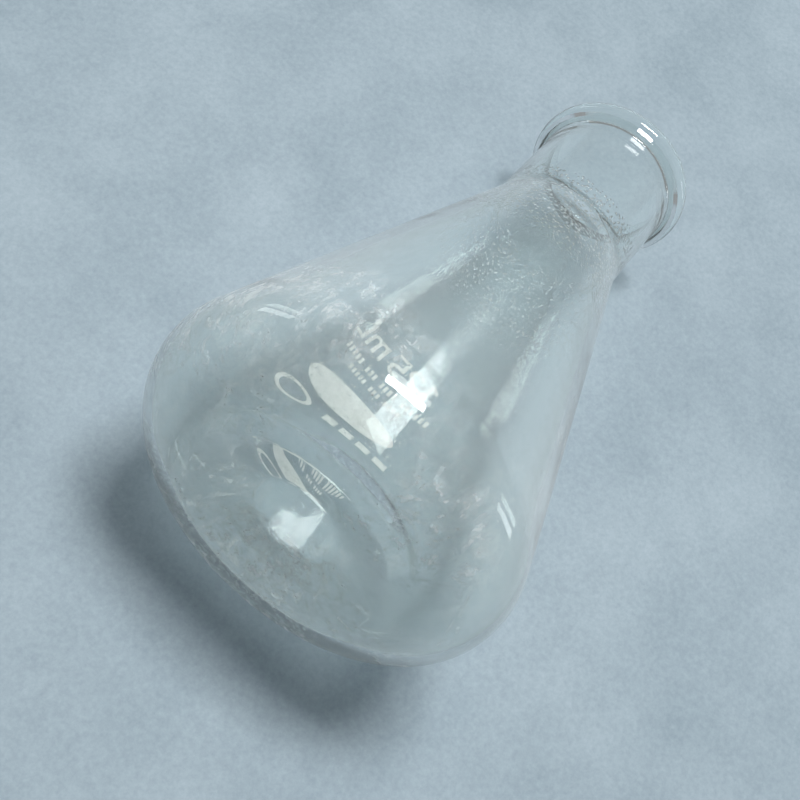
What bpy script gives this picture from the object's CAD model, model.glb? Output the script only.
import math

import bpy
from mathutils import Matrix, Vector


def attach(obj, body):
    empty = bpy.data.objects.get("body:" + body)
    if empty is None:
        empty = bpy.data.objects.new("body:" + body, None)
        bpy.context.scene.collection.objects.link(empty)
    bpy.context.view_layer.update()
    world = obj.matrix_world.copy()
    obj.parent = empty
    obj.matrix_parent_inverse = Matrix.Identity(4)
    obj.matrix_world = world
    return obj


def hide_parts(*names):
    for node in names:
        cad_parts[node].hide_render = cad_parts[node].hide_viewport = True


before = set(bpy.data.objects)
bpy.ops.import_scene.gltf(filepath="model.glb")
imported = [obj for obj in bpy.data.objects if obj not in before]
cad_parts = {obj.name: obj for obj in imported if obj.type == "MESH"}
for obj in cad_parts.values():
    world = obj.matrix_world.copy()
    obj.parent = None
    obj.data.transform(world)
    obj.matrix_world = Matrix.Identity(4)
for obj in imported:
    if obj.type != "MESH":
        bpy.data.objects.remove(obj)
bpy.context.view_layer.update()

MM = 0.001

# ---------------------------------------------------------------- the vessel, as in part.scad, in mm
HEIGHT = 114.0
BASE_R = 34.0
HEEL_R = 12.0
CONE_TOP = 86.5
SHOULDER_R = 10.0
NECK_R = 14.0
WALL = 1.7
BASE_THICK = 1.8
PUNT = 3.0
PUNT_FLAT = 7.0
PUNT_ROUND = 6.0
FLOOR_R = 200.0
REST_WIDTH = 3.0
RING_ROUND = 3.5
CORNER_R = 9.5
RIM_R = 16.5
RIM_H = 4.4
UNDER_RIM = 1.4

SKIN = 0.035  # the enamel's inner face lies this far inside the visible glass, as if fused to it
SKIN_MARGIN = 6.0  # the glass is moved out from this far above the heel to this far below the shoulder
SKIN_FADE = 5.0
WALL_WANDER = 0.10  # how far the inside of the wall and of the floor are from true
FLOOR_WANDER = 0.12
WALL_FADE = 8.0  # nearer the axis than this, they wander less
FLOOR_FADE = 12.0
NECK_CLEAR = 2.0  # the bore is true, and the wall below it, down to this far below the neck's foot

BORE_R = NECK_R - WALL
RING_R = BASE_R - HEEL_R
REST_R = RING_R - REST_WIDTH
SPAN = math.hypot(CONE_TOP - HEEL_R, RING_R - NECK_R)
HALF = math.atan2(RING_R - NECK_R, CONE_TOP - HEEL_R) + math.asin(HEEL_R / SPAN)
SHOULDER_X = NECK_R + SHOULDER_R
SHOULDER_Z = CONE_TOP + SHOULDER_R * math.tan(HALF / 2)
PUNT_RUN = REST_R - PUNT_FLAT
PUNT_RISE = RING_ROUND + PUNT_ROUND - PUNT
PUNT_SLOPE = math.asin(
    (RING_ROUND + PUNT_ROUND) / math.hypot(PUNT_RUN, PUNT_RISE)
) - math.atan2(PUNT_RISE, PUNT_RUN)
DOME_Z = PUNT + BASE_THICK - FLOOR_R
BEAD_R = RIM_H / 2
BEAD_X = RIM_R - BEAD_R
BEAD_Z = HEIGHT - BEAD_R
LIP_R = BEAD_X - BORE_R


def inner_corner():
    """The middle of the round corner that touches the inside of the wall and of the floor."""
    t = math.tan(HALF)
    a = NECK_R + CONE_TOP * t - (WALL + CORNER_R) / math.cos(HALF)
    b = -DOME_Z - a * t
    c = a**2 + DOME_Z**2 - (FLOOR_R + CORNER_R) ** 2
    z = (math.sqrt(b**2 - (1 + t * t) * c) - b) / (1 + t * t)
    return a - z * t, z


CORNER_X, CORNER_Z = inner_corner()
CORNER_ANGLE = math.asin(CORNER_X / (FLOOR_R + CORNER_R))


def arc(x, z, r, start, end, steps):
    """The points of an arc round (x, z), with its two ends."""
    out = []
    for i in range(steps + 1):
        a = start + (end - start) * i / steps
        out.append((x + r * math.cos(a), z + r * math.sin(a)))
    return out


def straight(p, q, steps):
    """The points between p and q, without the two ends."""
    return [
        (p[0] + (q[0] - p[0]) * i / steps, p[1] + (q[1] - p[1]) * i / steps)
        for i in range(1, steps)
    ]


def outer_profile():
    """From the middle of the punt, round the heel and up to the top of the rim."""
    right = math.pi / 2
    fillet_x = NECK_R + UNDER_RIM
    drop = math.sqrt((BEAD_R + UNDER_RIM) ** 2 - (fillet_x - BEAD_X) ** 2)
    fillet_a = math.atan2(drop, BEAD_X - fillet_x)
    punt = [(0, PUNT), (PUNT_FLAT / 2, PUNT)]
    punt += arc(PUNT_FLAT, PUNT - PUNT_ROUND, PUNT_ROUND, right, right - PUNT_SLOPE, 10)
    ring = arc(REST_R, RING_ROUND, RING_ROUND, 3 * right - PUNT_SLOPE, 3 * right, 8)
    heel = arc(RING_R, HEEL_R, HEEL_R, -right, HALF, 30)
    shoulder = arc(SHOULDER_X, SHOULDER_Z, SHOULDER_R, math.pi + HALF, math.pi, 12)
    fillet = arc(fillet_x, BEAD_Z - drop, UNDER_RIM, math.pi, math.pi - fillet_a, 10)
    bead = arc(BEAD_X, BEAD_Z, BEAD_R, -fillet_a, right, 24)
    base = punt + straight(punt[-1], ring[0], 6) + ring + heel
    cone = straight(heel[-1], shoulder[0], 40) + shoulder
    neck = straight(shoulder[-1], fillet[0], 8) + fillet + bead
    return base + cone + neck


def inner_profile():
    """From the top of the rim, down the bore and the cone to the middle of the floor."""
    right = math.pi / 2
    lip = arc(BEAD_X, HEIGHT - LIP_R, LIP_R, right, math.pi, 14)
    throat = arc(SHOULDER_X, SHOULDER_Z, SHOULDER_R + WALL, math.pi, math.pi + HALF, 12)
    corner = arc(CORNER_X, CORNER_Z, CORNER_R, HALF, -right - CORNER_ANGLE, 24)
    floor_arc = arc(0, DOME_Z, FLOOR_R, right - CORNER_ANGLE, right, 14)
    neck = lip + straight(lip[-1], throat[0], 8) + throat
    return neck + straight(throat[-1], corner[0], 40) + corner + floor_arc


def distinct(points):
    """The points without any that repeats the one before."""
    out = []
    for p in points:
        if not out or math.hypot(p[0] - out[-1][0], p[1] - out[-1][1]) > 1e-4:
            out.append(p)
    return out


def swell(x, z):
    """An outer point, moved out to the skin along the cone. Heel, shoulder, base and neck stay."""
    rise = (z - HEEL_R - SKIN_MARGIN) / SKIN_FADE
    fall = (CONE_TOP - SKIN_MARGIN - z) / SKIN_FADE
    share = max(0.0, min(1.0, rise)) * max(0.0, min(1.0, fall))
    return x + SKIN * share, z


def wander(angle, along_wall):
    """A slow wave round the vessel, between -1 and 1."""
    return (
        0.5 * math.sin(2 * angle + 0.8 + along_wall / 31)
        + 0.3 * math.sin(3 * angle - 1.7 + along_wall / 17)
        + 0.2 * math.sin(5 * angle + 2.1 - along_wall / 9)
    )


def blown(x, z, angle):
    """An inner point. Blown glass is never quite true, so the inside of the cone and the floor wander."""
    r, h = x, z
    if z < SHOULDER_Z - NECK_CLEAR:
        r += WALL_WANDER * wander(angle, z) * min(1.0, x / WALL_FADE)
    if z < CORNER_Z and x < CORNER_X:
        h += FLOOR_WANDER * wander(angle, 2 * x) * min(1.0, x / FLOOR_FADE)
    return r, h


def mesh_object(name, verts, faces, mat):
    mesh = bpy.data.meshes.new(name)
    mesh.from_pydata(verts, [], faces)
    mesh.update()
    mesh.materials.append(mat)
    obj = bpy.data.objects.new(name, mesh)
    bpy.context.scene.collection.objects.link(obj)
    return obj


def glass_vessel(mat, turns=224):
    """The profiles turned round the axis, each row of points a ring, or one point on the axis."""
    rows = [(x, z, False) for x, z in distinct(outer_profile())]
    rows += [(x, z, True) for x, z in distinct(inner_profile())[1:]]
    verts, faces, rings = [], [], []
    for x, z, inside in rows:
        if x < 1e-6:
            rings.append([len(verts)])
            verts.append((0.0, 0.0, z * MM))
            continue
        rings.append(range(len(verts), len(verts) + turns))
        for k in range(turns):
            a = 2 * math.pi * k / turns
            r, h = blown(x, z, a) if inside else swell(x, z)
            verts.append((r * math.cos(a) * MM, r * math.sin(a) * MM, h * MM))
    for p, q in zip(rings, rings[1:]):
        for k in range(turns):
            n = (k + 1) % turns
            if len(p) == 1:
                faces.append((p[0], q[n], q[k]))
            elif len(q) == 1:
                faces.append((p[k], p[n], q[0]))
            else:
                faces.append((p[k], p[n], q[n], q[k]))
    vessel = mesh_object("vessel", verts, faces, mat)
    for poly in vessel.data.polygons:
        poly.use_smooth = True
    return vessel


# ---------------------------------------------------------------- node helpers
def new_material(name):
    mat = bpy.data.materials.new(name)
    mat.use_nodes = True
    nt = mat.node_tree
    nt.nodes.clear()
    return mat, nt, nt.nodes.new("ShaderNodeOutputMaterial")


def feed(nt, socket, value):
    """Link an output to a socket, or set a constant on it."""
    if isinstance(value, bpy.types.NodeSocket):
        nt.links.new(value, socket)
    else:
        socket.default_value = value


def add(nt, kind, **inputs):
    """A new node with its inputs fed by name. An underscore stands for a space."""
    n = nt.nodes.new(kind)
    for name, value in inputs.items():
        feed(nt, n.inputs[name.replace("_", " ")], value)
    return n


def noise(nt, coord, scale, detail=4.0, rough=0.55, distort=0.0):
    n = add(nt, "ShaderNodeTexNoise", Vector=coord, Scale=scale, Detail=detail)
    n.inputs["Roughness"].default_value = rough
    n.inputs["Distortion"].default_value = distort
    return n.outputs["Fac"]


def remap(nt, value, from_min, from_max, to_min, to_max):
    n = nt.nodes.new("ShaderNodeMapRange")
    n.interpolation_type = "SMOOTHSTEP"
    n.inputs["From Min"].default_value = from_min
    n.inputs["From Max"].default_value = from_max
    n.inputs["To Min"].default_value = to_min
    n.inputs["To Max"].default_value = to_max
    nt.links.new(value, n.inputs["Value"])
    return n.outputs["Result"]


def calc(nt, operation, *values):
    n = nt.nodes.new("ShaderNodeMath")
    n.operation = operation
    for socket, value in zip(n.inputs, values):
        feed(nt, socket, value)
    return n.outputs[0]


def ramp(nt, fac, low_at, low, high_at, high):
    """A colour that runs from low, where fac is low_at, to high, where it is high_at."""
    n = add(nt, "ShaderNodeValToRGB", Fac=fac)
    for element, place, colour in zip(n.color_ramp.elements, (low_at, high_at), (low, high)):
        element.position = place
        element.color = (*colour, 1)
    return n.outputs["Color"]


def bump(nt, height, strength, distance):
    n = add(nt, "ShaderNodeBump", Strength=strength, Distance=distance, Height=height)
    return n.outputs["Normal"]


def mix_shaders(nt, fac, first, second):
    n = nt.nodes.new("ShaderNodeMixShader")
    for socket, value in zip(n.inputs, (fac, first, second)):
        nt.links.new(value, socket)
    return n.outputs[0]


def object_coord(nt):
    return nt.nodes.new("ShaderNodeTexCoord").outputs["Object"]


def scaled(nt, coord, x, y, z):
    n = nt.nodes.new("ShaderNodeMapping")
    n.inputs["Scale"].default_value = (x, y, z)
    nt.links.new(coord, n.inputs["Vector"])
    return n.outputs["Vector"]


# ---------------------------------------------------------------- glass
GLASS_TINT = (0.932, 0.968, 0.959, 1)
GLASS_IOR = 1.473
CHALK = (0.80, 0.84, 0.84, 1)

# Roughness of the clean glass, and what the film of use adds
CLEAR_ROUGH = 0.008
FILM_ROUGH = 0.09

# Heights in metres, each with its fade: the film and residue fade out above the foot, and the drops
# fade in and out again. Noise moves the drops' heights by up to DAMP_RAGGED.
FOOT_FADE = (0.012, 0.060)
DAMP_FADE_IN = (0.071, 0.084)
DAMP_FADE_OUT = (0.099, 0.102)
DAMP_RAGGED = 0.016

# Shares of white in the surface
RESIDUE_WHITE = 0.30
DROP_WHITE = 0.36
FOOT_WHITE = 0.065
EDGE_WHITE = 0.18

# What one surface lets through of a lamp, straight and edge on, and the share of it at base and heel
WALL_SHADE = (0.50, 0.51, 0.51)
EDGE_SHADE = (0.05, 0.05, 0.05)
HEEL_SHARE = 0.45
HEEL_FADE = (0.008, 0.022)


def indoors(nt, coord, height):
    """1 on the inside of the wall and 0 on its outside, by the distance from the wall's middle line."""
    slope = math.tan(HALF)
    flat = nt.nodes.new("ShaderNodeVectorMath")
    flat.operation = "LENGTH"
    nt.links.new(scaled(nt, coord, 1, 1, 0), flat.inputs[0])
    under = calc(nt, "MINIMUM", height, CONE_TOP * MM)
    slant = calc(nt, "MULTIPLY_ADD", under, slope, flat.outputs["Value"])
    return calc(nt, "LESS_THAN", slant, (NECK_R + CONE_TOP * slope - WALL * 0.5) * MM)


def condensation(nt, coord, height):
    """Fine drops on the inside, near the top of the cone."""
    ragged = calc(nt, "MULTIPLY_ADD", noise(nt, coord, 60, 3), DAMP_RAGGED, height)
    low = remap(nt, ragged, *DAMP_FADE_IN, 0.0, 1.0)
    high = remap(nt, ragged, *DAMP_FADE_OUT, 1.0, 0.0)
    damp = calc(nt, "MULTIPLY", calc(nt, "MULTIPLY", low, high), indoors(nt, coord, height))
    cells = add(nt, "ShaderNodeTexVoronoi", Vector=coord, Scale=1400)
    drops = remap(nt, cells.outputs["Distance"], 0.12, 0.46, 1.0, 0.0)
    return calc(nt, "MULTIPLY", drops, damp)


def residue(nt, coord, foot):
    """Patches of streaky dried deposit, towards the foot of the cone."""
    streaks = noise(nt, scaled(nt, coord, 1.0, 1.0, 0.55), 430, 10, 0.72, 0.4)
    patches = remap(nt, noise(nt, coord, 34, 3), 0.42, 0.62, 0.05, 1.0)
    deposit = calc(nt, "MULTIPLY", remap(nt, streaks, 0.47, 0.66, 0.0, 1.0), foot)
    return calc(nt, "MULTIPLY", deposit, patches)


def lamp_shade(nt, height, facing_away):
    """Lamps shine through the walls, but less through edges, heel and base, which bend the light away."""
    fall = ramp(nt, facing_away, 0.45, WALL_SHADE, 0.95, EDGE_SHADE)
    shade = nt.nodes.new("ShaderNodeVectorMath")
    shade.operation = "SCALE"
    nt.links.new(fall, shade.inputs[0])
    nt.links.new(remap(nt, height, *HEEL_FADE, HEEL_SHARE, 1.0), shade.inputs["Scale"])
    clear = add(nt, "ShaderNodeBsdfTransparent", Color=shade.outputs["Vector"])
    return clear.outputs["BSDF"]


def glass_material():
    mat, nt, out = new_material("borosilicate_glass")
    coord = object_coord(nt)
    height = add(nt, "ShaderNodeSeparateXYZ", Vector=coord).outputs["Z"]
    foot = remap(nt, height, *FOOT_FADE, 1.0, 0.06)
    facing_away = add(nt, "ShaderNodeLayerWeight", Blend=0.5).outputs["Facing"]
    drops = condensation(nt, coord, height)

    # a film of use: almost clear, hazier in wisps towards the foot of the cone
    wisps = noise(nt, scaled(nt, coord, 1.0, 1.0, 0.5), 95, 8, 0.70, 1.4)
    film = calc(nt, "MULTIPLY", remap(nt, wisps, 0.46, 0.70, 0.0, 1.0), foot)

    # faint ripples of the blown wall, dried specks and the drops
    ripple = noise(nt, coord, 42, 2, 0.5)
    specks = remap(nt, noise(nt, coord, 1500, 2, 0.5), 0.66, 0.74, 0.0, 1.0)
    relief = calc(nt, "ADD", drops, calc(nt, "MULTIPLY_ADD", specks, 0.10, ripple))

    glass = add(
        nt,
        "ShaderNodeBsdfPrincipled",
        Base_Color=GLASS_TINT,
        IOR=GLASS_IOR,
        Transmission_Weight=1.0,
        Roughness=calc(nt, "MULTIPLY_ADD", film, FILM_ROUGH, CLEAR_ROUGH),
        Normal=bump(nt, relief, 0.40, 0.0002),
    )

    # white on the surface: residue, drops and a haze that looks denser where the wall is seen edge on
    haze = calc(nt, "MULTIPLY", foot, FOOT_WHITE)
    white = calc(nt, "MULTIPLY_ADD", drops, DROP_WHITE, haze)
    white = calc(nt, "MULTIPLY_ADD", residue(nt, coord, foot), RESIDUE_WHITE, white)
    edge = remap(nt, facing_away, 0.40, 0.92, 0.0, EDGE_WHITE)
    chalk = add(nt, "ShaderNodeBsdfDiffuse", Color=CHALK)
    surface = mix_shaders(
        nt, calc(nt, "ADD", white, edge), glass.outputs["BSDF"], chalk.outputs["BSDF"]
    )

    in_shadow_ray = nt.nodes.new("ShaderNodeLightPath").outputs["Is Shadow Ray"]
    final = mix_shaders(nt, in_shadow_ray, surface, lamp_shade(nt, height, facing_away))
    nt.links.new(final, out.inputs["Surface"])
    return mat


# ---------------------------------------------------------------- enamel, bench and floor
def enamel_material():
    mat, nt, out = new_material("white_enamel")
    coord = object_coord(nt)
    mottle = noise(nt, coord, 900, 4, 0.6)
    enamel = add(
        nt,
        "ShaderNodeBsdfPrincipled",
        IOR=1.5,
        Base_Color=ramp(nt, mottle, 0.30, (0.78, 0.80, 0.78), 0.62, (0.92, 0.925, 0.90)),
        Roughness=remap(nt, noise(nt, coord, 2200, 3), 0.3, 0.7, 0.38, 0.62),
        Normal=bump(nt, noise(nt, coord, 3500, 3), 0.4, 0.00004),
    )
    nt.links.new(enamel.outputs["BSDF"], out.inputs["Surface"])
    return mat


def one_sided(nt, surface, out):
    """Seen from behind, a stage surface isn't there, so that it hides nothing from the other side."""
    behind = nt.nodes.new("ShaderNodeNewGeometry").outputs["Backfacing"]
    clear = nt.nodes.new("ShaderNodeBsdfTransparent").outputs["BSDF"]
    nt.links.new(mix_shaders(nt, behind, surface, clear), out.inputs["Surface"])


def stage_material(name, fac, low, high, rough, specular):
    """A matt sheet. fac makes its pattern, and low and high are places and colours on its ramp."""
    mat, nt, out = new_material(name)
    base = add(
        nt,
        "ShaderNodeBsdfPrincipled",
        Roughness=rough,
        Specular_IOR_Level=specular,
        Base_Color=ramp(nt, fac(nt, object_coord(nt)), *low, *high),
    )
    one_sided(nt, base.outputs["BSDF"], out)
    return mat


def bench_pattern(nt, coord):
    blotch = calc(nt, "MULTIPLY", noise(nt, coord, 40, 6, 0.62), 0.55)
    return calc(nt, "MULTIPLY_ADD", noise(nt, coord, 900, 4, 0.7), 0.45, blotch)


def floor_pattern(nt, coord):
    return noise(nt, coord, 30, 6, 0.6)


def bench_material():
    low, high = (0.32, (0.225, 0.290, 0.335)), (0.68, (0.345, 0.420, 0.470))
    return stage_material("bench", bench_pattern, low, high, 0.6, 0.3)


def floor_material():
    low, high = (0.3, (0.68, 0.70, 0.715)), (0.7, (0.74, 0.76, 0.775))
    return stage_material("floor", floor_pattern, low, high, 0.7, 0.2)


# ---------------------------------------------------------------- how the flask lies
Z_AXIS = Vector((0, 0, 1))


def level(angle):
    """The way out from the axis at this angle from +X."""
    return Vector((math.cos(angle), math.sin(angle), 0))


# Sides of the flask, as angles round its axis. The middle of its print is at -45 degrees.
BENCH_SIDE = math.radians(-60)
CAMERA_SIDE = math.radians(120)

# It lies on its heel and its rim, and LEAN is the angle between its axis and the bench
LEAN = math.atan2(RING_R - BEAD_X, BEAD_Z - HEEL_R) + math.asin(
    (HEEL_R - BEAD_R) / math.hypot(RING_R - BEAD_X, BEAD_Z - HEEL_R)
)
# The bench's own directions: down into it, up from it, along it from the base to the mouth, and across
down = level(BENCH_SIDE) * math.cos(LEAN) + Z_AXIS * math.sin(LEAN)
up = -down
along = (Z_AXIS - down * down.z).normalized()
across = along.cross(up)
# How far down the bench is from the centre of the base, in metres
GAP = (RING_R * math.cos(LEAN) + HEEL_R * math.sin(LEAN) + HEEL_R) * MM


def facing(origin, direction, roll_up):
    """A placement at origin that looks along direction, with roll_up towards the top of its view."""
    z = -direction.normalized()
    x = roll_up.cross(z).normalized()
    y = z.cross(x)
    m = Matrix((x, y, z)).transposed().to_4x4()
    m.translation = origin
    return m


def sheet(name, middle, u, v, half, mat):
    """A square of the stage, whose front is on the side of u x v."""
    corners = [
        middle + u * (su * half) + v * (sv * half)
        for su, sv in ((-1, -1), (1, -1), (1, 1), (-1, 1))
    ]
    obj = mesh_object(name, corners, [(0, 1, 2, 3)], mat)
    obj.visible_diffuse = False
    obj.visible_shadow = False
    return obj


# ---------------------------------------------------------------- build
BENCH_HALF = 1.2
BENCH_ALONG = 0.05
FLOOR_HALF = 3.0
FLOOR_DROP = 0.0001

vessel = glass_vessel(glass_material())
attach(vessel, "root")
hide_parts("glass_body")

enamel = enamel_material()
for name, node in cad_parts.items():
    if name != "glass_body":
        node.data.materials.clear()
        node.data.materials.append(enamel)

sheet("bench", down * GAP + along * BENCH_ALONG, across, along, BENCH_HALF, bench_material())

# A camera above the flask sees it stand on a floor, which isn't there from below, where the bench is seen
floor_middle = Z_AXIS * -FLOOR_DROP
floor = sheet("floor", floor_middle, Vector((1, 0, 0)), Vector((0, 1, 0)), FLOOR_HALF, floor_material())
floor.visible_glossy = False
floor.visible_transmission = False

# ---------------------------------------------------------------- light
ROOM_COLOUR = (0.90, 0.97, 1.0, 1)
ROOM_STRENGTH = 0.28
LIT_HEIGHT = 0.045

LAMP_FAR = 1.6
LAMP_SIZE = (0.62, 0.31)
LAMP_POWER = 27.0

WINDOW_AWAY = 1.15
WINDOW_ALONG = 0.45
WINDOW_UP = 0.05
WINDOW_SIZE = (0.12, 0.7)
WINDOW_POWERS = ((1, 1.4), (-1, 1.1))  # for the side that across points to, then for the other
WINDOW_COLOUR = (0.92, 0.98, 1.0)

SOFTBOX_SIDE = math.radians(-75)
SOFTBOX_OUT = 1.5
SOFTBOX_UP = 1.6
SOFTBOX_SIZE = (1.2, 1.2)
SOFTBOX_POWER = 36.0

world = bpy.data.worlds.new("room")
bpy.context.scene.world = world
world.use_nodes = True
background = world.node_tree.nodes["Background"]
background.inputs["Color"].default_value = ROOM_COLOUR
background.inputs["Strength"].default_value = ROOM_STRENGTH
middle = Z_AXIS * LIT_HEIGHT


def panel(name, place, size, power, colour=(1, 1, 1)):
    """A rectangular lamp that faces the middle of the flask."""
    light = bpy.data.lights.new(name, "AREA")
    light.shape = "RECTANGLE"
    light.size, light.size_y = size
    light.energy = power
    light.color = colour
    obj = bpy.data.objects.new(name, light)
    bpy.context.scene.collection.objects.link(obj)
    obj.matrix_world = facing(place, middle - place, up)
    return obj


lamp_way = (along * 0.265 - across * 0.03 + up * 0.95).normalized()
ceiling_lamp = panel("ceiling_lamp", middle + lamp_way * LAMP_FAR, LAMP_SIZE, LAMP_POWER)
# It hangs over the bench, and so close beside the floor that the floor is left to the softbox
beside = bpy.data.collections.new("beside_the_lamp")
beside.objects.link(floor)
ceiling_lamp.light_linking.receiver_collection = beside
beside.collection_objects[0].light_linking.link_state = "EXCLUDE"

# Pale windows low on both sides, which draw the soft lines along the cone's flanks
for sign, power in WINDOW_POWERS:
    place = middle + along * WINDOW_ALONG + across * (sign * WINDOW_AWAY) + up * WINDOW_UP
    panel("side_window", place, WINDOW_SIZE, power, WINDOW_COLOUR)

# Soft light on the printed side, which the bench hides from the other lamp
softbox_place = level(SOFTBOX_SIDE) * SOFTBOX_OUT + Z_AXIS * SOFTBOX_UP
panel("front_softbox", softbox_place, SOFTBOX_SIZE, SOFTBOX_POWER)

# ---------------------------------------------------------------- camera
CAMERA_OUT = 0.1669
CAMERA_BELOW = 0.0990
AIM_HEIGHT = 0.0244
AIM_SIDE = 0.0111
ROLL = math.radians(44.69)
SENSOR_WIDTH = 36
LENS = 57.7
SHIFT_X = 0.098
SHIFT_Y = -0.013

away = level(CAMERA_SIDE)
eye = away * CAMERA_OUT - Z_AXIS * CAMERA_BELOW
aim = Z_AXIS * AIM_HEIGHT - Z_AXIS.cross(away) * AIM_SIDE
cam_data = bpy.data.cameras.new("camera")
cam_data.sensor_width = SENSOR_WIDTH
cam_data.lens = LENS
cam_data.shift_x = SHIFT_X
cam_data.shift_y = SHIFT_Y
camera = bpy.data.objects.new("camera", cam_data)
bpy.context.scene.collection.objects.link(camera)
camera.matrix_world = facing(eye, aim - eye, Z_AXIS) @ Matrix.Rotation(ROLL, 4, "Z")
bpy.context.scene.camera = camera
bpy.context.scene.view_settings.view_transform = "Standard"
